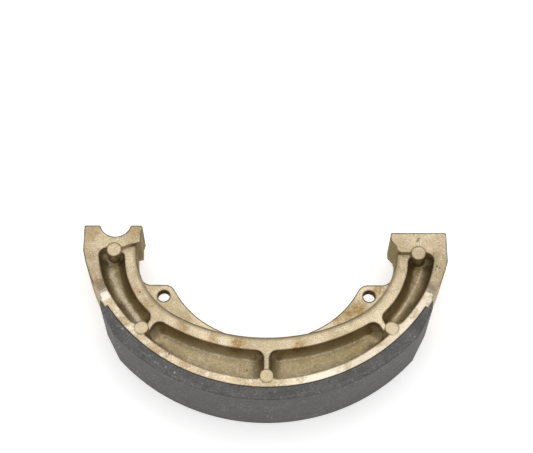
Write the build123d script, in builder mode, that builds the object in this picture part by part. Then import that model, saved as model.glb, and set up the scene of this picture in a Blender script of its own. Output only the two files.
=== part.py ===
"""Brake shoe for a drum of 160 mm bore: an aluminium casting with a bonded friction lining.

Frame: the origin is on the drum's axis, half way across the shoe's width, and +Z points along that axis.
The rim is towards -Y, the pivot end towards -X and the cam end towards +X. The two faces of the shoe are
alike about Z = 0. Lengths are in millimetres. Angles about the drum's axis are in degrees, counted from -Y
and positive towards the cam end.
"""
import os
from math import asin, cos, degrees, radians, sin, tan

from build123d import *

# Friction lining: thicknesses are measured from the seat, spans are counted back from the lining's end
drum_radius = 80.0
shoe_width = 30.0
lining_thickness = 5.0
lining_end_angle = 59.3
bevel_span = 11.1
bevel_end_thickness = 2.8
nose_span = 2.6
nose_end_thickness = 1.65
toe_span = 0.9
toe_thickness = 0.9

# Rim
rim_thickness = 3.3
rim_shoulder = 0.5
ramp_gap_angle = 1.9
ramp_run = 5.2
ramp_foot_rise = 1.35
strip_run = 20.4

# Locating lugs at the corners of the rim
lug_height = 1.1
lug_span = 3.0
lug_width = 2.5
lug_clearance = 0.1

# Heights above the mid-plane
web_height = 1.9
ring_height = 6.7
block_height = 9.15

# Ring wall: depths from the lining's seat to its inner line, radii of that line, and the wall itself
ring_side_depth = 22.6
ring_side_radius = 32.0
ring_crown_depth = 23.5
ring_crown_radius = 75.0
ring_side_wall = 4.9
ring_crown_wall = 5.5
ring_side_spread = 2.0
ring_crown_spread = 3.0

# Pockets: draft and rounding, and how the rim's inner face straightens at the ends
pocket_end_thickening = 3.3
pocket_end_radius = 50.0
pocket_draft = 4.0
pocket_corner_radius = 2.9
pocket_floor_bevel = 2.5

# Ribs between the pockets
rib_width = 2.0
rib_draft = 5.0
side_rib_lean = 30.0
centre_rib_rise = 1.8
centre_rib_foot_gap = 1.5

# Ejector pads
rim_pad_radius = 2.7
rim_pad_inset = 1.4
rim_pad_angle = 43.8
end_pad_radius = 2.9
end_pad_rise = 0.25
pivot_pad_offset = -0.2
pivot_pad_drop = 11.95
cam_pad_offset = 8.9
cam_pad_drop = 0.4

# How far below the cam block the full height of both ends reaches, beside the pads
cheek_drop = 3.5

# Pivot end
pivot_depth = 13.7
pivot_y = -3.15
pivot_notch_radius = 6.25
pivot_hub_wall = 4.92
pivot_face_drop = 1.25
pivot_side_inset = 1.1
pivot_heel_reach = 1.5
pivot_heel_drop = 7.3

# Cam end
cam_face_y = -7.4
cam_side_inset = 2.2
cam_block_length = 20.5
cam_block_depth = 8.6
cam_block_corner = 2.5
cam_heel_flat = 0.3
cam_nose_rise = 2.4
cam_nose_reach = 2.0

# Spring tabs and their holes
spring_hole_depth = 22.6
spring_hole_angle = 52.1
spring_hole_radius = 2.45
tab_margin = 4.79
tab_lip = 3.19
tab_sweep_radius = 38.7
tab_sweep_gap = 0.9
tab_run_out_angle = 25.0
tab_corner_radius = 4.5

# Edge rounding
end_corner_radius = 0.8
ring_edge_radius = 0.9

# How far a body runs into its neighbour, how far a cut runs past the surface, and how near an edge must lie
overlap = 0.5
overrun = 10.0
tolerance = 0.01

# Lining and rim, from the sizes above
half_width = shoe_width / 2
seat_radius = drum_radius - lining_thickness
bevel_start_angle = lining_end_angle - bevel_span
bevel_end_angle = lining_end_angle - nose_span
nose_end_angle = lining_end_angle - toe_span
rim_end_radius = seat_radius + rim_shoulder
rim_inner_radius = seat_radius - rim_thickness
ramp_angle = lining_end_angle + ramp_gap_angle
ramp_foot_height = block_height + ramp_foot_rise
lug_radius = seat_radius + lug_height
lug_start_angle = lining_end_angle - lug_span

# Ring wall and pockets
ring_side_x = seat_radius - ring_side_depth
ring_crown_y = ring_crown_depth - seat_radius
pocket_side_x = ring_side_x + ring_side_wall
pocket_side_radius = ring_side_radius + ring_side_spread
pocket_crown_y = ring_crown_y - ring_crown_wall
pocket_crown_radius = ring_crown_radius + ring_crown_spread
pocket_end_x = rim_inner_radius - pocket_end_thickening
rim_rise = (half_width - web_height) * tan(radians(pocket_draft))
ring_rise = (ring_height - web_height) * tan(radians(pocket_draft))
block_rise = (block_height - web_height) * tan(radians(pocket_draft))
rib_foot_width = rib_width + 2 * (ring_height - web_height) * tan(radians(rib_draft))
web_reach = seat_radius - rim_thickness / 2

# The two ends
pivot_x = pivot_depth - seat_radius
pivot_hub_radius = pivot_notch_radius + pivot_hub_wall
pivot_face_y = pivot_y - pivot_face_drop
pivot_side_x = pivot_side_inset - seat_radius
pivot_heel_x = pivot_heel_reach - ring_side_x
pivot_heel_y = pivot_face_y - pivot_heel_drop
cam_side_x = seat_radius - cam_side_inset
cam_block_x = cam_side_x - cam_block_length
cam_block_y = cam_face_y - cam_block_depth
cam_heel_y = cam_block_y + cam_block_corner + cam_heel_flat
cam_nose_x = cam_block_x - cam_nose_reach
cam_nose_y = cam_heel_y + cam_nose_rise
cheek_y = cam_block_y - cheek_drop

# Ribs and pads
rim_pad_circle = rim_inner_radius - rim_pad_inset
centre_rib_height = ring_height + centre_rib_rise
centre_rib_foot_y = pocket_crown_y - centre_rib_foot_gap
end_pad_height = block_height + end_pad_rise
pivot_pad_x = pivot_x + pivot_pad_offset
pivot_pad_y = pivot_y - pivot_pad_drop
cam_pad_x = cam_block_x + cam_pad_offset
cam_pad_y = cam_block_y - cam_pad_drop

# Spring tabs: each one's inner edge is an arc that starts at its corner and runs out near the ring's crown
spring_hole_circle = seat_radius - spring_hole_depth
tab_top_y = tab_margin - spring_hole_circle * cos(radians(spring_hole_angle))
tab_corner_x = spring_hole_circle * sin(radians(spring_hole_angle)) - tab_lip
tab_sweep_y = ring_crown_y + tab_sweep_gap + tab_sweep_radius
tab_end_angle = degrees(asin((tab_sweep_y - tab_top_y) / tab_sweep_radius))
tab_sweep_x = tab_corner_x - tab_sweep_radius * cos(radians(tab_end_angle))
tab_turn = 90 - tab_run_out_angle - tab_end_angle
tab_meet_y = (
    tab_sweep_y
    - tab_sweep_radius / cos(radians(tab_run_out_angle))
    - tab_sweep_x * tan(radians(tab_run_out_angle))
)


def polar(radius, angle):
    """Return the plan point at a radius from the drum's axis, at an angle from -Y."""
    return (radius * sin(radians(angle)), -radius * cos(radians(angle)))


def arch(side_x, side_radius, crown_y, crown_radius, growth=0.0):
    """Draw a closed arch: straight sides up to Y = 0, side arcs and a flatter crown arc, all tangent.

    The growth moves the whole line outwards, away from the drum's axis.
    """
    outer_x = side_x + growth
    side_arc = side_radius + growth
    crown_arc = crown_radius + growth
    crown_turn = asin((outer_x - side_arc) / (crown_arc - side_arc))
    crown_centre_y = crown_y + crown_radius
    side_centre_y = crown_centre_y - (crown_arc - side_arc) * cos(crown_turn)
    join = degrees(crown_turn)
    Line((-outer_x, 0), (-outer_x, side_centre_y))
    CenterArc((side_arc - outer_x, side_centre_y), side_arc, 180, 90 - join)
    CenterArc((0, crown_centre_y), crown_arc, 270 - join, 2 * join)
    CenterArc((outer_x - side_arc, side_centre_y), side_arc, 270 + join, 90 - join)
    Line((outer_x, side_centre_y), (outer_x, 0))
    Line((outer_x, 0), (-outer_x, 0))


def ring_sector(inner_radius, outer_radius, start, end):
    """Draw the part of a ring about the drum's axis between two angles."""
    CenterArc((0, 0), inner_radius, start - 90, end - start)
    Line(polar(inner_radius, end), polar(outer_radius, end))
    CenterArc((0, 0), outer_radius, start - 90, end - start)
    Line(polar(outer_radius, start), polar(inner_radius, start))


# The casting's plan: round, up to its two end faces and its two flat sides
with BuildSketch() as shoe_outline:
    with BuildLine():
        Polyline(
            (pivot_side_x, pivot_face_y),
            (0, pivot_face_y),
            (0, cam_face_y),
            (cam_side_x, cam_face_y),
            (cam_side_x, -drum_radius),
            (pivot_side_x, -drum_radius),
            close=True,
        )
    make_face()
    Circle(rim_end_radius, mode=Mode.INTERSECT)

# The open middle of the ring wall
with BuildSketch() as ring_opening:
    with BuildLine():
        arch(ring_side_x, ring_side_radius, ring_crown_y, ring_crown_radius)
    make_face()

# The open middle of the web: the ring wall's line down to the tabs, then the tabs' inner edges
with BuildSketch() as web_opening:
    with BuildLine():
        left_sweep = CenterArc((-tab_sweep_x, tab_sweep_y), tab_sweep_radius, 180 + tab_end_angle, tab_turn)
        right_start = 270 + tab_run_out_angle
        right_sweep = CenterArc((tab_sweep_x, tab_sweep_y), tab_sweep_radius, right_start, tab_turn)
        Polyline(left_sweep @ 1, (0, tab_meet_y), right_sweep @ 0)
        Line(right_sweep @ 1, left_sweep @ 0)
    make_face()
    with Locations((0, tab_top_y)):
        Rectangle(2 * drum_radius, drum_radius, align=(Align.CENTER, Align.MIN))
    add(ring_opening.sketch, mode=Mode.INTERSECT)

# The pockets as solid cores: drafted walls, rounded plan corners and eased floors
with BuildPart() as pocket_cores:
    with BuildSketch(Plane.XY.offset(web_height)):
        with BuildLine():
            arch(pocket_end_x, pocket_end_radius, -rim_inner_radius, rim_inner_radius, -rim_rise)
        make_face()
        with BuildLine():
            arch(pocket_side_x, pocket_side_radius, pocket_crown_y, pocket_crown_radius, ring_rise)
        make_face(mode=Mode.SUBTRACT)
        with Locations((pivot_x, pivot_y)):
            Circle(pivot_hub_radius + block_rise, mode=Mode.SUBTRACT)
        with Locations((cam_block_x, cam_block_y - block_rise)):
            Rectangle(drum_radius, drum_radius, align=Align.MIN, mode=Mode.SUBTRACT)
        # Above the hub there is no pocket
        with Locations((pivot_x, pivot_y)):
            Rectangle(drum_radius, -2 * pivot_y, mode=Mode.SUBTRACT)
        with Locations((0, -rim_pad_circle)):
            Rectangle(rib_foot_width, rim_pad_circle, mode=Mode.SUBTRACT)
        for side in (-1, 1):
            pad_x, pad_y = polar(rim_pad_circle, side * rim_pad_angle)
            with Locations(Location((pad_x, pad_y, 0), (0, 0, side * side_rib_lean))):
                Rectangle(rib_foot_width, 2 * ring_side_depth, mode=Mode.SUBTRACT)
        offset(amount=-pocket_corner_radius, mode=Mode.REPLACE)
        offset(amount=pocket_corner_radius, mode=Mode.REPLACE)
    extrude(amount=half_width, taper=-pocket_draft)
    chamfer(pocket_cores.faces().group_by(Axis.Z)[0].edges(), length=pocket_floor_bevel)
    mirror(about=Plane.XY)

# The casting
with BuildPart() as shoe_casting:
    # Web with the spring tabs
    with BuildSketch() as web_plan:
        Circle(web_reach)
        add(shoe_outline.sketch, mode=Mode.INTERSECT)
        add(web_opening.sketch, mode=Mode.SUBTRACT)
        fillet(
            web_plan.vertices().filter_by_position(Axis.Y, tab_top_y - tolerance, tab_top_y + tolerance),
            radius=tab_corner_radius,
        )
    extrude(amount=web_height, both=True)

    # Ring wall, filled out to the rim: the pockets are cut from it below
    with BuildSketch():
        Circle(web_reach)
        add(ring_opening.sketch, mode=Mode.SUBTRACT)
        add(shoe_outline.sketch, mode=Mode.INTERSECT)
    extrude(amount=ring_height, both=True)
    ring_edges = shoe_casting.edges().filter_by_position(Axis.Y, pocket_crown_y, cam_face_y - tolerance)
    ring_edges = ring_edges.filter_by_position(Axis.X, -ring_side_x - tolerance, ring_side_x + tolerance)
    ring_edges = ring_edges.filter_by(lambda edge: abs(edge.center().Z) > ring_height - tolerance)
    fillet(ring_edges, radius=ring_edge_radius)

    # Pivot hub and cam block
    with BuildSketch():
        with Locations((pivot_x, pivot_y)):
            Circle(pivot_hub_radius)
        with BuildLine():
            Polyline(
                (pivot_x, pivot_face_y),
                (pivot_heel_x, pivot_face_y),
                (pivot_heel_x, pivot_heel_y),
                (pivot_x, pivot_y - pivot_hub_radius),
                close=True,
            )
        make_face()
        with Locations((pivot_side_x, cheek_y)):
            Rectangle(pivot_pad_x - pivot_side_x, -cheek_y, align=Align.MIN)
        with Locations((cam_pad_x, cheek_y)):
            Rectangle(cam_side_x - cam_pad_x, -cheek_y, align=Align.MIN)
        with BuildSketch(mode=Mode.ADD) as cam_block_plan:
            with BuildLine():
                Polyline(
                    (cam_nose_x, 0),
                    (cam_nose_x, cam_nose_y),
                    (cam_block_x, cam_heel_y),
                    (cam_block_x, cam_block_y),
                    (cam_side_x, cam_block_y),
                    (cam_side_x, 0),
                    close=True,
                )
            make_face()
            fillet(cam_block_plan.vertices().group_by(Axis.Y)[0].sort_by(Axis.X)[0], radius=cam_block_corner)
        add(shoe_outline.sketch, mode=Mode.INTERSECT)
    extrude(amount=block_height, both=True)

    # Rim, with the seat for the lining between two low shoulders
    with BuildSketch():
        add(shoe_outline.sketch)
        with BuildLine():
            arch(pocket_end_x, pocket_end_radius, -rim_inner_radius, rim_inner_radius, -rim_rise)
        make_face(mode=Mode.SUBTRACT)
        with BuildLine():
            ring_sector(seat_radius, drum_radius, -lining_end_angle, lining_end_angle)
        make_face(mode=Mode.SUBTRACT)
    extrude(amount=half_width, both=True)

    # Ramps at the rim's ends, and the end strips that fall to the height of the blocks
    for side in (-1, 1):
        turn = radians(ramp_angle)
        ramp_plane = Plane(
            origin=(*polar(rim_inner_radius, side * ramp_angle), 0),
            x_dir=(side * cos(turn), sin(turn), 0),
            z_dir=(sin(turn), -side * cos(turn), 0),
        )
        with BuildSketch(ramp_plane):
            with BuildLine():
                Polyline(
                    (0, half_width),
                    (ramp_run, ramp_foot_height),
                    (strip_run, block_height),
                    (2 * strip_run, block_height),
                    (2 * strip_run, half_width + overrun),
                    (0, half_width + overrun),
                    close=True,
                )
            make_face()
            mirror(about=Plane.XZ)
        extrude(amount=overrun + lining_thickness, both=True, mode=Mode.SUBTRACT)

    add(pocket_cores.part, mode=Mode.SUBTRACT)

    # Centre rib: it stands up to the pad and slopes down to the ring wall
    with BuildSketch(Plane.YZ):
        with BuildLine():
            Polyline(
                (-web_reach, 0),
                (-web_reach, centre_rib_height),
                (-rim_pad_circle, centre_rib_height),
                (centre_rib_foot_y, ring_height),
                (centre_rib_foot_y, 0),
                close=True,
            )
        make_face()
        mirror(about=Plane.XZ)
    extrude(amount=rib_width / 2, both=True)

    # Ejector pads: three in the ribs' ends against the rim, one beside each block
    with BuildSketch():
        with Locations(*[polar(rim_pad_circle, angle) for angle in (-rim_pad_angle, 0, rim_pad_angle)]):
            Circle(rim_pad_radius)
    extrude(amount=half_width, both=True)
    with BuildSketch():
        with Locations((pivot_pad_x, pivot_pad_y), (cam_pad_x, cam_pad_y)):
            Circle(end_pad_radius)
    extrude(amount=end_pad_height, both=True)

    # Locating lugs for the lining's corners
    for face in (-1, 1):
        with BuildSketch(Plane.XY.offset(face * half_width)):
            for side in (-1, 1):
                lug_start = side * lug_start_angle
                with BuildLine():
                    ring_sector(seat_radius - overlap, lug_radius, lug_start, side * lining_end_angle)
                make_face()
        extrude(amount=-face * lug_width)

    # Half-round notch for the pivot pin, and the spring holes
    with BuildSketch():
        with Locations((pivot_x, pivot_y)):
            Circle(pivot_notch_radius)
        with Locations(*[polar(spring_hole_circle, side * spring_hole_angle) for side in (-1, 1)]):
            Circle(spring_hole_radius)
    extrude(amount=half_width, both=True, mode=Mode.SUBTRACT)

    # Upright corners of the two end faces and of the notch
    end_edges = shoe_casting.edges().filter_by(Axis.Z)
    end_edges = end_edges.filter_by_position(Axis.Y, cam_face_y - tolerance, pivot_face_y + tolerance)
    fillet(end_edges, radius=end_corner_radius)

# The lining: an even arc with a long flat bevel and a short nose at each end, bonded to the seat
with BuildPart() as friction_lining:
    with BuildSketch():
        with BuildLine():
            CenterArc((0, 0), seat_radius, -90 - lining_end_angle, 2 * lining_end_angle)
            CenterArc((0, 0), drum_radius, -90 - bevel_start_angle, 2 * bevel_start_angle)
            for side in (-1, 1):
                Polyline(
                    polar(drum_radius, side * bevel_start_angle),
                    polar(seat_radius + bevel_end_thickness, side * bevel_end_angle),
                    polar(seat_radius + nose_end_thickness, side * nose_end_angle),
                    polar(seat_radius + toe_thickness, side * lining_end_angle),
                    polar(seat_radius, side * lining_end_angle),
                )
        make_face()
    extrude(amount=half_width, both=True)

    # Notches for the locating lugs
    for face in (-1, 1):
        with BuildSketch(Plane.XY.offset(face * half_width)):
            for side in (-1, 1):
                with BuildLine():
                    ring_sector(
                        seat_radius - overlap,
                        lug_radius + lug_clearance,
                        side * (lug_start_angle - degrees(lug_clearance / seat_radius)),
                        side * (lining_end_angle + 1),
                    )
                make_face()
        extrude(amount=-face * (lug_width + lug_clearance), mode=Mode.SUBTRACT)

shoe_casting.part.label = "shoe_casting"
friction_lining.part.label = "friction_lining"
export_step(shoe_casting.part, "parts/shoe_casting.step")
export_step(friction_lining.part, "parts/friction_lining.step")
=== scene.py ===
"""Looks of a drum brake shoe: an as-cast aluminium shoe with a bonded, moulded friction lining.

Everything is in metres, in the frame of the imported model: the origin on the drum's axis at
mid-width, the rim towards -Y, the pivot end towards -X, the cam end towards +X. Inside the
finishes, places are in millimetres, angles about the drum's axis in degrees, counted from -Y and
positive towards the cam end, and colours linear.
"""
import logging
from dataclasses import dataclass, field
from enum import Enum
from functools import reduce
from math import cos, degrees, radians, sin
from typing import Any, Protocol

import bpy
from mathutils import Matrix, Vector

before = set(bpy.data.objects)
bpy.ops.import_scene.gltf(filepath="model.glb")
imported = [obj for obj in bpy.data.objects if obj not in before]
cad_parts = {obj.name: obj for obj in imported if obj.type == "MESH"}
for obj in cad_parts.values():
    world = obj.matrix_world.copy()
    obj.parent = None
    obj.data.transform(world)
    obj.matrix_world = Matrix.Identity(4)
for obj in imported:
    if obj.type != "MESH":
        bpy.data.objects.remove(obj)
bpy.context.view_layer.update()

MM = 0.001
# The lining's outer face and its seat on the rim, in millimetres from the drum's axis.
DRUM_RADIUS = 80.0
SEAT_RADIUS = 75.0
# How finely the rounded edges are worked out, and along which lines patterns are moved apart.
EDGE_SAMPLES = 8
NOISE_SHIFT = (1.0, 0.7, 1.3)
CELL_SHIFT = (1.0, -1.0, 0.4)

log = logging.getLogger("shoe")
Pair = tuple[float, float]
Triple = tuple[float, float, float]


class Blend(Enum):
    """How one colour layer goes over another."""

    MIX = "MIX"
    MULTIPLY = "MULTIPLY"


class Socket:
    """One node output, with the operators of numbers: each adds a Math node."""

    def __init__(self, nodes: "Nodes", output: Any) -> None:
        """Keep the output and the tree that it is in."""
        self.nodes = nodes
        self.output = output

    def __add__(self, other: Any) -> "Socket":
        """Return self + other."""
        return self.nodes.math("ADD", self, other)

    def __sub__(self, other: Any) -> "Socket":
        """Return self - other."""
        return self.nodes.math("SUBTRACT", self, other)

    def __rsub__(self, other: Any) -> "Socket":
        """Return other - self."""
        return self.nodes.math("SUBTRACT", other, self)

    def __mul__(self, other: Any) -> "Socket":
        """Return self * other."""
        return self.nodes.math("MULTIPLY", self, other)

    def __truediv__(self, other: Any) -> "Socket":
        """Return self / other."""
        return self.nodes.math("DIVIDE", self, other)

    def __neg__(self) -> "Socket":
        """Return self with its sign turned."""
        return self.nodes.math("MULTIPLY", self, -1.0)

    def __abs__(self) -> "Socket":
        """Return the size of self without its sign."""
        return self.nodes.math("ABSOLUTE", self)


class Nodes:
    """A material's node tree, written as expressions."""

    def __init__(self, name: str) -> None:
        """Make an empty material that uses nodes.

        Args:
            name: the material's name.
        """
        self.material = bpy.data.materials.new(name)
        self.material.use_nodes = True
        self.tree = self.material.node_tree
        self.tree.nodes.clear()
        self.place = self.node("ShaderNodeTexCoord")["Object"]

    def put(self, socket: Any, value: Any) -> None:
        """Link a Socket to an input, or set a plain value on it.

        Args:
            socket: the node's input.
            value: a Socket, a number, a vector, or a colour without its alpha.
        """
        if isinstance(value, Socket):
            self.tree.links.new(value.output, socket)
        elif isinstance(value, tuple) and socket.type == "RGBA":
            socket.default_value = (*value, 1.0)
        else:
            socket.default_value = value

    def node(self, kind: str, settings: dict[str, Any] | None = None,
             **values: Any) -> dict[str, Socket]:
        """Add a node of any type.

        Args:
            kind: the node's type name.
            settings: its own properties, set first.
            values: values or Sockets for its inputs; spaces are written as _ and inputs by number
                as in0, in1.

        Returns:
            The node's outputs by name, and under their numbers as text.
        """
        made = self.tree.nodes.new(kind)
        for key, value in (settings or {}).items():
            setattr(made, key, value)
        for key, value in values.items():
            number = key[2:] if key.startswith("in") and key[2:].isdigit() else None
            self.put(made.inputs[int(number) if number else key.replace("_", " ")], value)
        outputs = {str(i): Socket(self, output) for i, output in enumerate(made.outputs)}
        outputs.update({out.name: Socket(self, out) for out in made.outputs if out.enabled})
        return outputs

    def math(self, operation: str, *values: Any) -> Socket:
        """Return a Math node's result on up to three values."""
        inputs = {f"in{i}": value for i, value in enumerate(values)}
        return self.node("ShaderNodeMath", {"operation": operation}, **inputs)["0"]

    def most(self, *values: Any) -> Socket:
        """Return the largest of the values."""
        return reduce(lambda largest, value: self.math("MAXIMUM", largest, value), values)

    def length(self, across: Socket, along: Socket) -> Socket:
        """Return the length of a line in plan from its two runs."""
        return self.math("SQRT", across * across + along * along)

    def fit(self, value: Socket, span: Pair, onto: Pair = (0.0, 1.0)) -> Socket:
        """Carry a value smoothly from one span onto another.

        Args:
            value: the value.
            span: its first and last point, in either order.
            onto: what the result is at those points, and beyond them.

        Returns:
            The result, held at the ends.
        """
        return self.node("ShaderNodeMapRange", {"interpolation_type": "SMOOTHSTEP"}, Value=value,
                         From_Min=span[0], From_Max=span[1], To_Min=onto[0],
                         To_Max=onto[1])["Result"]

    def band(self, value: Socket, middle: float, half: float, soft: float) -> Socket:
        """Return 1 where the value is within half of the middle, and 0 beyond a soft edge."""
        return self.fit(abs(value - middle), (half, half + soft), (1.0, 0.0))

    def between(self, value: Socket, limits: Pair, soft: float) -> Socket:
        """Return 1 where the value lies between two limits, and 0 beyond soft edges."""
        low, high = limits
        return self.band(value, (low + high) / 2, (high - low) / 2, soft)

    def vector(self, x: Any, y: Any, z: Any) -> Socket:
        """Return a vector made of three numbers."""
        return self.node("ShaderNodeCombineXYZ", None, X=x, Y=y, Z=z)["Vector"]

    def noise(self, scale: float, detail: float = 3.0, rough: float = 0.5,
              spot: Socket | None = None, stretch: Triple = (1.0, 1.0, 1.0), shift: float = 0.0,
              warp: float = 0.0) -> Socket:
        """Return fractal noise around 0.5.

        Args:
            scale: waves a unit of the place that it reads, which is a metre on Object coordinates.
            detail: how many finer octaves it has.
            rough: how strong the finer octaves are.
            spot: another place to read than the Object coordinates.
            stretch: a factor for each axis, under 1 to draw the pattern out.
            shift: an offset that keeps two patterns apart.
            warp: how much the pattern is pushed about by itself.

        Returns:
            The noise as a number.
        """
        offset = tuple(shift * share for share in NOISE_SHIFT)
        mapped = self.node("ShaderNodeMapping", None, Vector=spot or self.place, Location=offset,
                           Scale=stretch)["Vector"]
        return self.node("ShaderNodeTexNoise", None, Vector=mapped, Scale=scale, Detail=detail,
                         Roughness=rough, Distortion=warp)["0"]

    def cells(self, scale: float, shift: float) -> Socket:
        """Return the distance to the nearest of scattered points, in cell widths.

        Args:
            scale: cells a metre.
            shift: an offset that keeps two patterns apart.

        Returns:
            The distance as a number.
        """
        offset = tuple(shift * share for share in CELL_SHIFT)
        mapped = self.node("ShaderNodeMapping", None, Vector=self.place, Location=offset)["Vector"]
        return self.node("ShaderNodeTexVoronoi", None, Vector=mapped, Scale=scale)["Distance"]

    def mix(self, amount: Any, under: Any, over: Any, blend: Blend = Blend.MIX) -> Socket:
        """Return one colour laid over another by an amount."""
        settings = {"data_type": "RGBA", "blend_type": blend.value, "clamp_factor": True}
        return self.node("ShaderNodeMix", settings, in0=amount, in6=under, in7=over)["2"]

    def turn(self, amount: Socket, under: Socket, over: Socket) -> Socket:
        """Return one direction carried over to another by an amount."""
        settings = {"data_type": "VECTOR"}
        return self.node("ShaderNodeMix", settings, in0=amount, in4=under, in5=over)["1"]

    def eased(self, radius: float) -> Socket:
        """Return the normal as if each edge and corner were rounded by a radius in metres."""
        return self.node("ShaderNodeBevel", {"samples": EDGE_SAMPLES}, Radius=radius)["Normal"]

    def bump(self, height: Socket, strength: float, distance: float, normal: Socket) -> Socket:
        """Return a normal pushed about by a height."""
        return self.node("ShaderNodeBump", None, Strength=strength, Distance=distance,
                         Height=height, Normal=normal)["Normal"]

    def surface(self, **values: Any) -> Any:
        """Finish the material with a Principled shader.

        Args:
            values: its inputs, with spaces written as _.

        Returns:
            The material.
        """
        shader = self.tree.nodes.new("ShaderNodeBsdfPrincipled")
        for key, value in values.items():
            self.put(shader.inputs[key.replace("_", " ")], value)
        output = self.tree.nodes.new("ShaderNodeOutputMaterial")
        self.tree.links.new(shader.outputs["BSDF"], output.inputs["Surface"])
        return self.material


class Site:
    """Where a point of the shoe's surface is, in millimetres and degrees, and which way it faces.

    The height is counted from mid-width on either side, and the level is 1 on faces that lie flat
    and 0 on upright ones. The eased values follow the surface as if its edges were rounded.
    """

    def __init__(self, nodes: Nodes, edge_radius: float) -> None:
        """Work out the places from the Object coordinates.

        Args:
            nodes: the tree that the places are for.
            edge_radius: how far the sharp edges are rounded, in metres.
        """
        parts = nodes.node("ShaderNodeSeparateXYZ", None, Vector=nodes.place)
        normal = nodes.node("ShaderNodeNewGeometry")["Normal"]
        facing = nodes.node("ShaderNodeSeparateXYZ", None, Vector=normal)
        self.rounded = nodes.eased(edge_radius)
        eased = nodes.node("ShaderNodeSeparateXYZ", None, Vector=self.rounded)
        self.nodes = nodes
        self.x = parts["X"] / MM
        self.y = parts["Y"] / MM
        self.z = parts["Z"] / MM
        self.height = abs(self.z)
        self.level = abs(facing["Z"])
        self.eased_level = abs(eased["Z"])
        self.eased_y = eased["Y"]
        self.radius = nodes.length(self.x, self.y)
        self.outward = (facing["X"] * self.x + facing["Y"] * self.y) / self.radius
        self.angle = nodes.math("ARCTAN2", self.x, -self.y) * degrees(1.0)
        self.arc = nodes.vector(self.radius, self.angle * (SEAT_RADIUS * radians(1.0)), self.z)

    def flat(self) -> Socket:
        """Return 1 on faces that lie flat, and 0 on sloping and upright ones."""
        return self.nodes.fit(self.level, (0.8, 0.95))

    def upright(self) -> Socket:
        """Return 1 on faces that stand upright, and 0 on sloping and flat ones."""
        return self.nodes.fit(self.level, (0.5, 0.25))

    def distance(self, x: float, y: float) -> Socket:
        """Return the distance in plan to a place."""
        return self.nodes.length(self.x - x, self.y - y)

    def stroke(self, start: Pair, end: Pair) -> Socket:
        """Return the distance in plan to a straight line between two places.

        The foot of the line from the point is held between the two ends.

        Args:
            start: the line's first end.
            end: its other end.

        Returns:
            The distance in millimetres.
        """
        run = (end[0] - start[0], end[1] - start[1])
        square = run[0] ** 2 + run[1] ** 2
        share = ((self.x - start[0]) * run[0] + (self.y - start[1]) * run[1]) / square
        share = self.nodes.math("MINIMUM", self.nodes.most(share, 0.0), 1.0)
        across = self.x - start[0] - share * run[0]
        along = self.y - start[1] - share * run[1]
        return self.nodes.length(across, along)


class Finish(Protocol):
    """Anything that builds one material."""

    def build(self) -> Any:
        """Return the material."""


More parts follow.
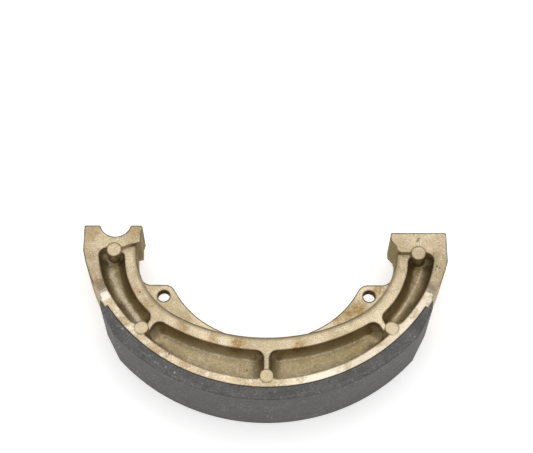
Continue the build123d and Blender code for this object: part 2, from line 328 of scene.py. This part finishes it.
@dataclass(frozen=True)
class CastAluminium:
    """Die-cast aluminium: champagne tone, sandy grain, ochre stains, pale rub, and painted light.

    A pair is a range in millimetres or degrees: where a mask starts and where it is in full, or the
    limits that it lies between. An arc is its centre's x and y and its radius. A stain is its x, y,
    reach and strength, and a blow hole its x, y and size. Only the edge's radius and the relief's
    depth are in metres. Methods that take a colour lay one more layer over it; the others return a
    mask.
    """

    pale: Triple = (0.78, 0.65, 0.455)
    deep: Triple = (0.53, 0.43, 0.27)
    pit: Triple = (0.25, 0.185, 0.09)
    # Pockets' dull coating together with painted shade.
    recess: Triple = (0.20, 0.15, 0.06)
    ochre: Triple = (0.31, 0.185, 0.05)
    # Painted shade for the rounded edges, standing in for the dark reflection they catch.
    edge: Triple = (0.13, 0.085, 0.036)
    # Dull olive: painted shade on the ring's inner shoulder, and the inner wall's tone, darker
    # towards its foot.
    film: Triple = (0.27, 0.215, 0.125)
    # Pale colour: uncoated metal on grain, grit and rub, and painted highlight and sheen.
    bare: Triple = (0.90, 0.84, 0.71)
    grey: Triple = (0.45, 0.39, 0.30)
    # Painted shade in and round the spring holes.
    bore: Triple = (0.085, 0.06, 0.028)
    grazing: Triple = (0.45, 0.40, 0.30)
    soot: Triple = (0.045, 0.038, 0.028)
    metallic: float = 0.86
    relief_strength: float = 0.75
    relief_depth: float = 0.16 * MM
    edge_radius: float = 1.0 * MM
    shoulder_width: float = 2.4
    crown_arc: Triple = (0.0, 23.5, 75.0)
    side_arc: Triple = (20.4, -14.35, 32.0)
    floor_arc: Triple = (0.0, 21.0, 80.8)
    arcs_meet: float = 35.6
    lining_end: float = 56.2
    glue_height: Pair = (14.0, 14.6)
    towards_ends: Pair = (-38.0, -6.0)
    block_sides: Pair = (-15.0, -12.0)
    end_faces: Pair = (-8.6, -7.6)
    inner_edge: Pair = (57.0, 56.3)
    inner_wall: Pair = (57.0, 56.0)
    wall_height: Pair = (14.9, 9.0)
    ring_side: Pair = (56.4, 57.6)
    ring_ends: Pair = (-10.0, -13.0)
    ring_height: Pair = (5.9, 7.2)
    ring_top: Pair = (6.5, 7.2)
    high_faces: Pair = (5.5, 6.3)
    rim_side: Pair = (71.75, 71.5)
    rim_radius: Pair = (71.3, 71.7)
    rim_height: Pair = (14.2, 14.7)
    # Where the cam half's patches of rub and painted sheen begin.
    cam_rub: Pair = (12.0, 26.0)
    pivot_rub: Pair = (-56.6, -57.6)
    rub_fading: Pair = (8.0, 30.0)
    strip_ends: Pair = (65.5, 67.0)
    strip_radius: Pair = (71.0, 72.5)
    ramp_level: Pair = (0.6, 0.86)
    ramp_radius: Pair = (70.5, 71.5)
    ramp_foot: Pair = (10.3, 10.8)
    ramp_top: Pair = (14.9, 14.6)
    pocket_ends: Pair = (-15.0, -17.0)
    pocket_mouth: Pair = (14.7, 14.0)
    pocket_depth: Pair = (6.4, 2.2)
    floor_height: Pair = (4.5, 2.5)
    line_height: Pair = (6.0, 4.0)
    pivot_line_radius: float = 66.7
    pivot_line_angles: Pair = (-75.0, -50.0)
    cam_line_radius: float = 66.2
    cam_line_angles: Pair = (52.0, 70.0)
    crown_line_sides: Pair = (-47.0, -50.0)
    pad_radius: float = 2.7
    pad_face: Pair = (14.2, 14.6)
    pad_edge: Pair = (14.4, 14.8)
    rim_pads: tuple[Pair, ...] = ((-48.66, -50.74), (0.0, -70.3), (48.66, -50.74))
    end_pad_radius: float = 2.9
    end_pad_foot: Pair = (9.0, 9.3)
    end_pads: tuple[Pair, ...] = ((-61.5, -15.1), (61.2, -16.4))
    spring_hole_radius: float = 2.45
    spring_holes: tuple[Pair, ...] = ((-41.35, -32.19), (41.35, -32.19))
    dent: tuple[Pair, Pair] = ((61.0, -11.0), (61.7, -9.5))
    scratches: tuple[tuple[Pair, Pair], ...] = (
        ((53.2, -20.6), (54.6, -24.0)), ((55.4, -21.6), (56.0, -24.6)),
        ((54.2, -23.2), (55.8, -22.2)),
    )
    blow_holes: tuple[Triple, ...] = (
        (68.3, -22.3, 0.45), (69.3, -23.1, 0.35), (67.6, -24.0, 0.3), (-50.5, -32.5, 0.35),
        (-37.6, -61.6, 0.35),
    )
    stains: tuple[tuple[float, float, float, float], ...] = (
        (44.9, -29.6, 6.0, 0.9), (37.0, -37.4, 8.5, 1.0), (33.0, -39.6, 8.5, 1.0),
        (28.5, -42.5, 7.0, 0.8), (-43.0, -35.5, 8.0, 0.35), (-33.0, -43.0, 8.0, 0.4),
        (-33.2, -46.6, 6.0, 0.7), (-21.0, -52.2, 6.5, 0.8), (-10.9, -54.9, 7.5, 0.9),
        (12.5, -55.0, 6.0, 1.0), (-31.5, -66.5, 8.0, 0.6), (-42.6, -61.0, 9.0, 0.55),
        (-56.1, -50.0, 8.0, 0.5), (-53.3, -31.0, 8.0, 0.6), (-51.9, -26.0, 6.0, 0.45),
        (-48.5, -38.6, 7.0, 0.5), (-70.9, -8.2, 7.0, 0.45), (-52.9, -6.5, 7.0, 0.6),
        (-72.0, -16.7, 7.0, 0.4), (-66.0, -28.5, 8.0, 0.4), (66.2, -17.1, 6.0, 0.4),
        (69.0, -13.0, 8.0, 0.3), (52.5, -12.0, 6.0, 0.3),
    )

    def ground(self, n: Nodes, at: Site) -> Socket:
        """Mix the champagne tone, with clouds and streaks along the arc, deeper towards the ends.

        Args:
            n: the material's nodes.
            at: the places on the shoe.

        Returns:
            The first layer of colour.
        """
        cloud = n.noise(70.0, detail=4.0, rough=0.55, shift=0.1)
        colour = n.mix(n.fit(cloud, (0.38, 0.62)), self.pale, self.deep)
        colour = n.mix(n.fit(at.y, self.towards_ends, (0.0, 0.5)), colour, self.deep)
        streak = n.noise(1.1, detail=5.0, rough=0.65, spot=at.arc, stretch=(1.0, 0.22, 0.3),
                         shift=5.0, warp=0.4)
        return n.mix(n.fit(streak, (0.54, 0.72), (0.0, 0.55)), colour, self.bare)

    def stained(self, n: Nodes, at: Site, colour: Socket) -> Socket:
        """Lay on the ochre stains where the castings were held and wetted.

        Args:
            n: the material's nodes.
            at: the places on the shoe.
            colour: the colour so far.

        Returns:
            The colour with the stains.
        """
        ragged = n.noise(240.0, detail=6.0, rough=0.75, shift=0.5, warp=0.8)
        speckled = n.fit(n.noise(900.0, rough=0.7, shift=0.55), (0.32, 0.58), (0.3, 1.0))
        patches = [
            n.fit(at.distance(x, y) + ragged * reach * 1.6, (reach * 0.9, reach * 1.5),
                  (strength, 0.0))
            for x, y, reach, strength in self.stains
        ]
        return n.mix(n.most(*patches) * speckled, colour, self.ochre)

    def machined(self, n: Nodes, at: Site, colour: Socket) -> Socket:
        """Lay on the greyer tone of the cut faces, ends and inner wall, and painted shade on the
        ramps.

        Args:
            n: the material's nodes.
            at: the places on the shoe.
            colour: the colour so far.

        Returns:
            The colour with the cut faces.
        """
        streak = n.noise(900.0, rough=0.6, stretch=(1.0, 1.0, 0.12), shift=0.2)
        upright = at.upright()
        ends = n.fit(at.y, self.end_faces) * upright
        wall = n.fit(at.radius, self.inner_wall) * upright
        ramp = n.between(at.level, self.ramp_level, 0.05)
        ramp = ramp * n.fit(at.radius, self.ramp_radius) * n.fit(at.height, self.ramp_foot)
        # The ramps' half share of grey is painted shade.
        cut = n.most(ends, wall, ramp * 0.5)
        colour = n.mix(cut * 0.85, colour, self.grey)
        # The inner wall is darker towards its foot.
        colour = n.mix(wall * n.fit(at.height, self.wall_height, (0.5, 0.9)), colour, self.film)
        return n.mix(cut * n.fit(streak, (0.5, 0.3), (0.0, 0.6)), colour, self.pit)

    def in_pocket(self, n: Nodes, at: Site) -> Socket:
        """Return 1 between the ring and the rim, and 0 outside the pockets."""
        across = n.fit(at.radius, self.ring_side) * n.fit(at.radius, self.rim_side)
        return across * n.fit(at.y, self.pocket_ends)

    def recessed(self, n: Nodes, at: Site, colour: Socket) -> Socket:
        """Lay on the pockets' dull coating with painted shade, darkest at the cam end and the ring.

        Args:
            n: the material's nodes.
            at: the places on the shoe.
            colour: the colour so far.

        Returns:
            The colour with the film.
        """
        film = self.in_pocket(n, at) * n.fit(at.height, self.pocket_depth, (0.15, 1.0))
        film = film * n.fit(at.height, self.pocket_mouth)
        ring_top = n.between(at.height, self.ring_top, 0.1) * at.flat()
        # Painted shade: more at the cam end, near the ring, on faces turned away from the axis and
        # on walls.
        share = n.fit(at.angle, (-30.0, 65.0), (0.75, 1.0))
        share = share * n.fit(at.radius, (70.0, 60.0), (0.75, 1.0))
        share = share * n.fit(at.outward, (-0.8, -0.2), (0.45, 1.0))
        share = share * n.fit(at.level, (0.99, 0.9), (0.92, 1.08))
        return n.mix(film * share * (1.0 - ring_top), colour, self.recess)

    def gritty(self, n: Nodes, at: Site, colour: Socket) -> Socket:
        """Lay the brown grit and a few pale points on the pockets' floors.

        Args:
            n: the material's nodes.
            at: the places on the shoe.
            colour: the colour so far.

        Returns:
            The colour with the grit.
        """
        floor = self.in_pocket(n, at) * n.fit(at.height, self.floor_height) * at.flat()
        grit = n.noise(1050.0, detail=4.0, rough=0.75, shift=1.9)
        colour = n.mix(floor * n.fit(grit, (0.54, 0.42), (0.0, 0.5)), colour, self.pit)
        return n.mix(floor * n.fit(grit, (0.54, 0.66), (0.0, 0.2)), colour, self.bare)

    def rubbed_floors(self, n: Nodes, at: Site, colour: Socket) -> Socket:
        """Lay on the painted highlights along the pockets' floors, drawn as pale lines.

        One runs along the floor of each end pocket, and one where the crown pockets' floors meet
        the ring's side.

        Args:
            n: the material's nodes.
            at: the places on the shoe.
            colour: the colour so far.

        Returns:
            The colour with the lines.
        """
        patchy = n.noise(1.4, detail=4.0, rough=0.7, spot=at.arc, stretch=(1.0, 0.3, 0.3), shift=7.0)
        pivot_line = n.band(at.radius, self.pivot_line_radius, 0.5, 1.3)
        pivot_line = pivot_line * n.between(at.angle, self.pivot_line_angles, 3.0)
        cam_line = n.band(at.radius, self.cam_line_radius, 0.15, 0.5)
        cam_line = cam_line * n.between(at.angle, self.cam_line_angles, 3.0)
        x, y, radius = self.floor_arc
        crown_line = n.band(at.distance(x, y), radius, 0.15, 0.4)
        crown_line = crown_line * n.fit(at.y, self.crown_line_sides) * 0.8
        # Painted highlight lines, where the floors' fillets would catch the light.
        pale = (pivot_line + cam_line + crown_line) * at.flat() * n.fit(at.height, self.line_height)
        sand = n.fit(n.noise(1300.0, rough=0.7, shift=0.75), (0.36, 0.6), (0.15, 1.0))
        return n.mix(pale * sand * n.fit(patchy, (0.36, 0.6), (0.15, 0.55)), colour, self.bare)

    def sanded(self, n: Nodes, at: Site, grain: Socket, coarse: Socket, colour: Socket) -> Socket:
        """Lay on the mould's sandy grain: dark hollows, and bright points on the high faces.

        Args:
            n: the material's nodes.
            at: the places on the shoe.
            grain: the fine noise of the relief.
            coarse: the coarser noise of the relief.
            colour: the colour so far.

        Returns:
            The colour with the grain.
        """
        points = n.fit(coarse, (0.54, 0.72)) * n.fit(at.height, self.high_faces, (0.16, 0.5))
        colour = n.mix(n.fit(grain, (0.54, 0.34), (0.0, 0.62)), colour, self.pit)
        colour = n.mix(points, colour, self.bare)
        return n.mix(n.fit(coarse, (0.46, 0.28), (0.0, 0.36)), colour, self.pit)

    def worn_rim(self, n: Nodes, at: Site, colour: Socket) -> Socket:
        """Lay on the rim's bright patches, along the cam half and at the pivot end.

        Args:
            n: the material's nodes.
            at: the places on the shoe.
            colour: the colour so far.

        Returns:
            The colour with the patches.
        """
        blotch = n.noise(190.0, detail=4.0, rough=0.65, shift=0.9, warp=0.6)
        on_rim = n.fit(at.radius, self.rim_radius) * n.fit(at.height, self.rim_height)
        # The cam half is partly rub and partly painted sheen of light from the right.
        cam_half_sheen_and_rub = n.fit(at.angle + blotch * 26.0, self.cam_rub)
        cam_half_sheen_and_rub = cam_half_sheen_and_rub * n.fit(blotch, (0.58, 0.46), (0.1, 1.0))
        chipped = n.noise(300.0, detail=4.0, rough=0.6, shift=1.3)
        chipped = n.fit(chipped, (0.54, 0.63), (0.0, 0.6))
        pivot_end = n.fit(at.angle + blotch * 2.0, self.pivot_rub)
        rub_and_sheen = on_rim * n.most(cam_half_sheen_and_rub, chipped, pivot_end)
        return n.mix(rub_and_sheen * n.fit(at.angle, self.rub_fading, (0.8, 0.45)), colour, self.bare)

    def worn_edges(self, n: Nodes, at: Site, colour: Socket) -> Socket:
        """Lay on painted shade along the rounded edges, most on the inner side.

        Args:
            n: the material's nodes.
            at: the places on the shoe.
            colour: the colour so far.

        Returns:
            The colour with the edges.
        """
        rounded = n.fit(at.eased_level, (0.998, 0.95)) * n.fit(at.eased_level, (0.0, 0.2))
        inner = n.fit(at.eased_y, (-0.6, 0.1), (0.3, 0.95))
        strips = n.fit(abs(at.angle), self.strip_ends) * n.fit(at.radius, self.strip_radius)
        outline = n.most(n.fit(at.radius, self.inner_edge), n.fit(at.y, self.block_sides), strips)
        inner = inner * n.most(outline, 0.4)
        ramp = n.fit(at.radius, self.ramp_radius) * n.fit(at.height, self.ramp_foot)
        ramp = ramp * n.fit(at.height, self.ramp_top)
        broken = n.noise(300.0, detail=4.0, rough=0.65, shift=0.15)
        broken = n.fit(broken, (0.32, 0.55), (0.6, 1.0))
        # Painted shade: the rounded edges darkened as if they reflected a dark horizon.
        return n.mix(rounded * inner * broken * (1.0 - ramp), colour, self.edge)

    def bores(self, n: Nodes, at: Site, colour: Socket) -> Socket:
        """Lay on painted shade in the spring holes and round their edges.

        Args:
            n: the material's nodes.
            at: the places on the shoe.
            colour: the colour so far.

        Returns:
            The colour with the holes.
        """
        near = n.math("MINIMUM", *(at.distance(x, y) for x, y in self.spring_holes))
        shade = n.fit(near, (self.spring_hole_radius + 0.9, self.spring_hole_radius + 0.1))
        steep = n.fit(at.eased_level, (0.98, 0.5), (0.35, 0.97))
        # Painted shade, darkest on the holes' steep walls.
        return n.mix(shade * steep, colour, self.bore)

    def shoulder(self, n: Nodes, at: Site) -> Socket:
        """Find the soft shoulder along the ring's inner edge, on its top.

        The ring's inner wall follows one flat arc at the crown and a tighter arc at each side.

        Args:
            n: the material's nodes.
            at: the places on the shoe.

        Returns:
            1 at the edge, and 0 past the shoulder's width.
        """
        crown = at.distance(self.crown_arc[0], self.crown_arc[1]) - self.crown_arc[2]
        side = n.length(abs(at.x) - self.side_arc[0], at.y - self.side_arc[1]) - self.side_arc[2]
        beyond = n.math("GREATER_THAN", abs(at.x), self.arcs_meet)
        inward = side * beyond + crown * (1.0 - beyond)
        on_ring = n.between(at.height, self.ring_height, 0.2) * n.fit(at.y, self.ring_ends)
        on_ring = on_ring * n.fit(inward, (-0.4, -0.1))
        return on_ring * n.fit(inward, (self.shoulder_width, 0.9))

    def parting(self, n: Nodes, at: Site) -> Socket:
        """Find the broken line that the mould halves left at mid-width on the upright faces.

        Args:
            n: the material's nodes.
            at: the places on the shoe.

        Returns:
            1 on the line, and 0 off it.
        """
        dash = n.noise(420.0, detail=2.0, rough=0.6, stretch=(1.0, 1.0, 0.05), shift=0.6)
        waver = n.noise(90.0, detail=2.0, shift=0.8) - 0.5
        line = n.band(at.z + waver * 0.8, 0.0, 0.18, 0.16)
        return line * at.upright() * n.fit(dash, (0.46, 0.56))

    def pad_lines(self, n: Nodes, at: Site) -> Socket:
        """Find the fine line round each pad where its face meets the casting's.

        Args:
            n: the material's nodes.
            at: the places on the shoe.

        Returns:
            1 on the lines at their strongest, and 0 off them.
        """
        rim_lines = [
            n.band(at.distance(x, y), self.pad_radius + 0.1, 0.1, 0.2)
            * n.fit(at.height, self.pad_edge)
            for x, y in self.rim_pads
        ]
        end_lines = [
            n.band(at.distance(x, y), self.end_pad_radius + 0.15, 0.12, 0.2)
            * n.between(at.height, self.end_pad_foot, 0.1)
            for x, y in self.end_pads
        ]
        faint = n.fit(n.noise(260.0, detail=2.0, shift=0.35), (0.3, 0.5), (0.45, 1.0))
        return n.most(*rim_lines, *end_lines) * faint

    def pads(self, n: Nodes, at: Site) -> Socket:
        """Find the faces of the rim's pads.

        Args:
            n: the material's nodes.
            at: the places on the shoe.

        Returns:
            1 on the faces, and 0 elsewhere.
        """
        reach = (self.pad_radius + 0.1, self.pad_radius - 0.1)
        return n.most(*(n.fit(at.distance(x, y), reach) * n.fit(at.height, self.pad_face)
                        for x, y in self.rim_pads))

    def pits(self, n: Nodes, at: Site) -> Socket:
        """Find the casting's larger flaws: a slanted dent, scratches and small blow holes.

        Args:
            n: the material's nodes.
            at: the places on the shoe.

        Returns:
            1 in the deepest flaws, and 0 outside them.
        """
        dent = n.fit(at.stroke(*self.dent), (0.1, 0.6), (0.6, 0.0))
        scratches = [n.fit(at.stroke(start, end), (0.0, 0.4), (0.28, 0.0))
                     for start, end in self.scratches]
        holes = [n.fit(at.distance(x, y), (size * 0.5, size), (1.0, 0.0))
                 for x, y, size in self.blow_holes]
        top = n.fit(at.level, (0.7, 0.9))
        fine = n.fit(n.cells(230.0, shift=0.3), (0.09, 0.04))
        fine = fine * n.fit(n.noise(60.0, detail=2.0, shift=0.4), (0.5, 0.62))
        return n.most(n.most(dent, *scratches, *holes) * top, fine * 0.4)

    def glue(self, n: Nodes, at: Site) -> Socket:
        """Find the dark line of glue where the rim's face meets the lining.

        Args:
            n: the material's nodes.
            at: the places on the shoe.

        Returns:
            1 on the line, and 0 off it.
        """
        line = n.band(at.radius, SEAT_RADIUS, 0.12, 0.16)
        line = line * n.band(at.angle, 0.0, self.lining_end, 0.3)
        return line * n.fit(at.height, self.glue_height)

    def build(self) -> Any:
        """Build the casting's material, layer by layer.

        Returns:
            The material.
        """
        n = Nodes("cast_aluminium")
        at = Site(n, self.edge_radius)
        grain = n.noise(2100.0, rough=0.65)
        coarse = n.noise(1600.0, rough=0.6, shift=0.3)
        parting = self.parting(n, at)
        pad_lines = self.pad_lines(n, at)
        pits = self.pits(n, at)
        shoulder = self.shoulder(n, at)
        colour = self.ground(n, at)
        # The pockets get painted shade here and their floors painted highlights.
        for layer in (self.stained, self.machined, self.recessed, self.gritty, self.rubbed_floors):
            colour = layer(n, at, colour)
        colour = self.sanded(n, at, grain, coarse, colour)
        colour = self.worn_rim(n, at, colour)
        # Painted shade along the rounded edges.
        colour = self.worn_edges(n, at, colour)
        colour = n.mix(self.pads(n, at) * 0.55, colour, self.deep)
        # Painted shade in the spring holes.
        colour = self.bores(n, at, colour)
        # Painted shade on the ring's inner shoulder, for a rounding wider than the model's.
        colour = n.mix(shoulder * 0.5, colour, self.film)
        colour = n.mix(parting * 0.5, colour, self.ochre, Blend.MULTIPLY)
        colour = n.mix(pad_lines * 0.5, colour, self.pit)
        colour = n.mix(pits * 0.85, colour, self.soot)
        colour = n.mix(self.glue(n, at) * 0.9, colour, self.soot)
        lumps = n.noise(330.0, detail=2.0, shift=1.7) * n.fit(at.y, (-40.0, -10.0), (0.8, 2.2))
        height = grain * 0.35 + coarse * 0.65 + lumps - pad_lines * 1.2 - pits * 2.0 + parting * 0.8
        swept = n.turn(shoulder, at.rounded, n.eased(self.shoulder_width * MM))
        normal = n.bump(height, self.relief_strength, self.relief_depth, swept)
        rough = n.fit(coarse, (0.3, 0.7), (0.34, 0.5))
        return n.surface(Base_Color=colour, Metallic=self.metallic, Roughness=rough, Normal=normal,
                         Specular_Tint=self.grazing)


@dataclass(frozen=True)
class FrictionCompound:
    """Moulded friction lining: matt dark grey with pale specks and faint scuffs along the arc.

    A speck patch is its x, y and reach, where the specks lie thicker.
    """

    ground: Triple = (0.135, 0.131, 0.122)
    dark: Triple = (0.083, 0.081, 0.076)
    # Darker tone for the upright faces: painted shade that offsets the floor's light on them.
    outer: Triple = (0.074, 0.070, 0.064)
    speck: Triple = (0.52, 0.51, 0.48)
    soot: Triple = (0.018, 0.017, 0.016)
    relief_strength: float = 0.55
    relief_depth: float = 0.1 * MM
    edge_radius: float = 0.3 * MM
    edge_height: float = 14.75
    speck_patches: tuple[Triple, ...] = (
        (-58.9, -52.3, 4.5), (-50.8, -59.7, 3.5), (-36.6, -70.2, 3.5),
    )

    def specks(self, n: Nodes, at: Site) -> Socket:
        """Find the pale specks of the compound.

        Args:
            n: the material's nodes.
            at: the places on the shoe.

        Returns:
            1 on the clearest specks, and 0 between them.
        """
        fleck = n.fit(n.cells(560.0, shift=0.2), (0.34, 0.14))
        fleck = fleck * n.fit(n.noise(320.0, rough=0.6, shift=0.7), (0.50, 0.62))
        clear = n.fit(n.noise(55.0, detail=2.0, shift=1.1), (0.45, 0.65), (0.15, 0.5))
        patches = [n.fit(at.distance(x, y), (reach * 0.4, reach), (1.0, 0.0))
                   for x, y, reach in self.speck_patches]
        return fleck * n.most(clear, *patches)

    def dark_lines(self, n: Nodes, at: Site) -> Socket:
        """Find the dark lines along the outer edges and along the glue.

        Args:
            n: the material's nodes.
            at: the places on the shoe.

        Returns:
            Nearly 1 on the lines, and 0 off them.
        """
        corner = n.fit(at.radius, (DRUM_RADIUS - 0.35, DRUM_RADIUS - 0.1))
        corner = corner * n.band(at.height, self.edge_height, 0.14, 0.2)
        glue = n.fit(at.radius, (SEAT_RADIUS + 0.3, SEAT_RADIUS + 0.15))
        return n.most(corner * 0.6, glue * 0.9)

    def build(self) -> Any:
        """Build the lining's material, layer by layer.

        Returns:
            The material.
        """
        n = Nodes("friction_compound")
        at = Site(n, self.edge_radius)
        grain = n.noise(1500.0, rough=0.6)
        cloud = n.noise(140.0, detail=4.0, rough=0.6, shift=0.4)
        scuff = n.noise(1.6, detail=4.0, rough=0.65, spot=at.arc, stretch=(1.0, 0.07, 0.6),
                        shift=3.0)
        specks = self.specks(n, at)
        painted_flank_shade = n.fit(at.level, (0.8, 0.5))
        colour = n.mix(n.fit(cloud, (0.35, 0.68)), self.ground, self.dark)
        # Painted shade on the upright faces, against the light they get from the floor.
        colour = n.mix(painted_flank_shade * 0.75, colour, self.outer)
        colour = n.mix(n.fit(scuff, (0.52, 0.36), (0.0, 0.45)), colour, self.dark)
        colour = n.mix(n.fit(scuff, (0.56, 0.72), (0.0, 0.22)), colour, self.speck)
        colour = n.mix(n.fit(grain, (0.5, 0.3), (0.0, 0.42)), colour, self.soot)
        colour = n.mix(n.fit(grain, (0.56, 0.72), (0.0, 0.2)), colour, self.speck)
        colour = n.mix(specks, colour, self.speck)
        colour = n.mix(self.dark_lines(n, at), colour, self.soot)
        height = grain * 0.6 + scuff * 0.4 + specks * 0.5
        normal = n.bump(height, self.relief_strength, self.relief_depth, at.rounded)
        rough = n.fit(scuff, (0.3, 0.7), (0.62, 0.78))
        return n.surface(Base_Color=colour, Roughness=rough, Normal=normal)


@dataclass(frozen=True)
class StudioPaper:
    """Plain white paper, with a glow that keeps it white in the picture."""

    tone: Triple = (0.93, 0.93, 0.93)
    rough: float = 0.9
    glow: float = 0.42

    def build(self) -> Any:
        """Return the paper's material."""
        return Nodes("studio_paper").surface(Base_Color=self.tone, Roughness=self.rough,
                                             Emission_Color=self.tone, Emission_Strength=self.glow)


@dataclass
class Studio:
    """The paper floor, the soft light, the room's light and the camera."""

    floor_height: float = -15.0 * MM
    floor_half: float = 3.0
    eye: Triple = (-2.89 * MM, -250.63 * MM, 538.61 * MM)
    gaze: Triple = (0.00485, 0.42132, -0.9069)
    roll: float = 0.76
    lens: float = 97.1
    sensor: float = 36.0
    far_limit: float = 20.0
    target: Triple = (0.0, -40.0 * MM, 0.0)
    sky_towards: Triple = (0.10, 0.30, 0.95)
    sky_span: Pair = (0.30, 0.92)
    sky_dim: float = 0.60
    sky_bright: float = 0.90
    key_place: Triple = (0.02, 0.12, 1.05)
    key_size: float = 0.55
    key_power: float = 1.5

    def floor(self) -> None:
        """Lay a wide square of paper under the shoe."""
        half = self.floor_half
        corners = [(x, y, self.floor_height)
                   for x, y in ((-half, -half), (half, -half), (half, half), (-half, half))]
        mesh = bpy.data.meshes.new("studio_floor")
        mesh.from_pydata(corners, [], [(0, 1, 2, 3)])
        obj = bpy.data.objects.new("studio_floor", mesh)
        bpy.context.scene.collection.objects.link(obj)
        mesh.materials.append(StudioPaper().build())

    def key_light(self) -> None:
        """Hang a square soft light above and behind the shoe, pointed at it."""
        data = bpy.data.lights.new("key_light", "AREA")
        data.shape = "SQUARE"
        data.size = self.key_size
        data.energy = self.key_power
        obj = bpy.data.objects.new("key_light", data)
        obj.location = self.key_place
        towards = Vector(self.target) - Vector(self.key_place)
        obj.rotation_euler = towards.to_track_quat("-Z", "Y").to_euler()
        bpy.context.scene.collection.objects.link(obj)

    def room(self) -> None:
        """Light the room from all over the ceiling, dimmer low down and behind the camera.

        The strength grows smoothly with the cosine between a direction and the bright part of the
        ceiling.
        """
        world = bpy.data.worlds.new("studio_room")
        world.use_nodes = True
        tree = world.node_tree
        place = tree.nodes.new("ShaderNodeTexCoord")
        across = tree.nodes.new("ShaderNodeVectorMath")
        across.operation = "DOT_PRODUCT"
        across.inputs[1].default_value = Vector(self.sky_towards).normalized()
        ramp = tree.nodes.new("ShaderNodeMapRange")
        ramp.interpolation_type = "SMOOTHSTEP"
        ramp.inputs["From Min"].default_value, ramp.inputs["From Max"].default_value = self.sky_span
        ramp.inputs["To Min"].default_value = self.sky_dim
        ramp.inputs["To Max"].default_value = self.sky_bright
        background = tree.nodes["Background"]
        background.inputs["Color"].default_value = (1.0, 1.0, 1.0, 1.0)
        tree.links.new(place.outputs["Generated"], across.inputs[0])
        tree.links.new(across.outputs["Value"], ramp.inputs["Value"])
        tree.links.new(ramp.outputs["Result"], background.inputs["Strength"])
        bpy.context.scene.world = world

    def camera(self) -> None:
        """Stand the camera where the photograph was taken from."""
        data = bpy.data.cameras.new("camera")
        data.lens = self.lens
        data.sensor_width = self.sensor
        data.clip_end = self.far_limit
        gaze = Vector(self.gaze).normalized()
        right = gaze.cross(Vector((0.0, 0.0, 1.0))).normalized()
        up = right.cross(gaze)
        turn = radians(self.roll)
        right, up = right * cos(turn) + up * sin(turn), up * cos(turn) - right * sin(turn)
        obj = bpy.data.objects.new("camera", data)
        rotation = Matrix((right, up, -gaze)).transposed().to_4x4()
        obj.matrix_world = Matrix.Translation(Vector(self.eye)) @ rotation
        bpy.context.scene.collection.objects.link(obj)
        bpy.context.scene.camera = obj

    def build(self) -> None:
        """Set up the whole studio, with colours shown without a film look."""
        self.floor()
        self.key_light()
        self.room()
        self.camera()
        bpy.context.scene.view_settings.view_transform = "Standard"
        log.info("set up the studio")


@dataclass
class CarriedSolid:
    """One solid of the model, its finish, and where its shading breaks."""

    node: str
    finish: Finish
    sharp_angle: float
    merge: float = 0.002 * MM
    face_weight: int = 80

    def shade(self, obj: Any) -> None:
        """Join the loose triangles, keep the sharp edges and shade smoothly over the gentle ones.

        Args:
            obj: the solid's object.
        """
        weld = obj.modifiers.new("join", "WELD")
        weld.merge_threshold = self.merge
        split = obj.modifiers.new("sharp_edges", "EDGE_SPLIT")
        split.split_angle = radians(self.sharp_angle)
        shading = obj.modifiers.new("shading", "WEIGHTED_NORMAL")
        shading.weight = self.face_weight

    def dress(self) -> None:
        """Give the solid its shading and its finish."""
        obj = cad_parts[self.node]
        self.shade(obj)
        material = self.finish.build()
        if not obj.material_slots:
            obj.data.materials.append(material)
        for slot in obj.material_slots:
            slot.material = material
        log.info("dressed %s", self.node)


@dataclass
class Shoe:
    """The shoe: the casting and the lining bonded to it."""

    solids: tuple[CarriedSolid, ...] = field(default_factory=lambda: (
        CarriedSolid("shoe_casting", CastAluminium(), sharp_angle=50.0),
        CarriedSolid("friction_lining", FrictionCompound(), sharp_angle=12.0),
    ))

    def build(self) -> None:
        """Dress each solid in turn."""
        for solid in self.solids:
            solid.dress()


def main() -> None:
    """Build the studio and dress the shoe."""
    logging.basicConfig(level=logging.INFO, format="%(name)s: %(message)s")
    Studio().build()
    Shoe().build()


if __name__ == "__main__":
    main()
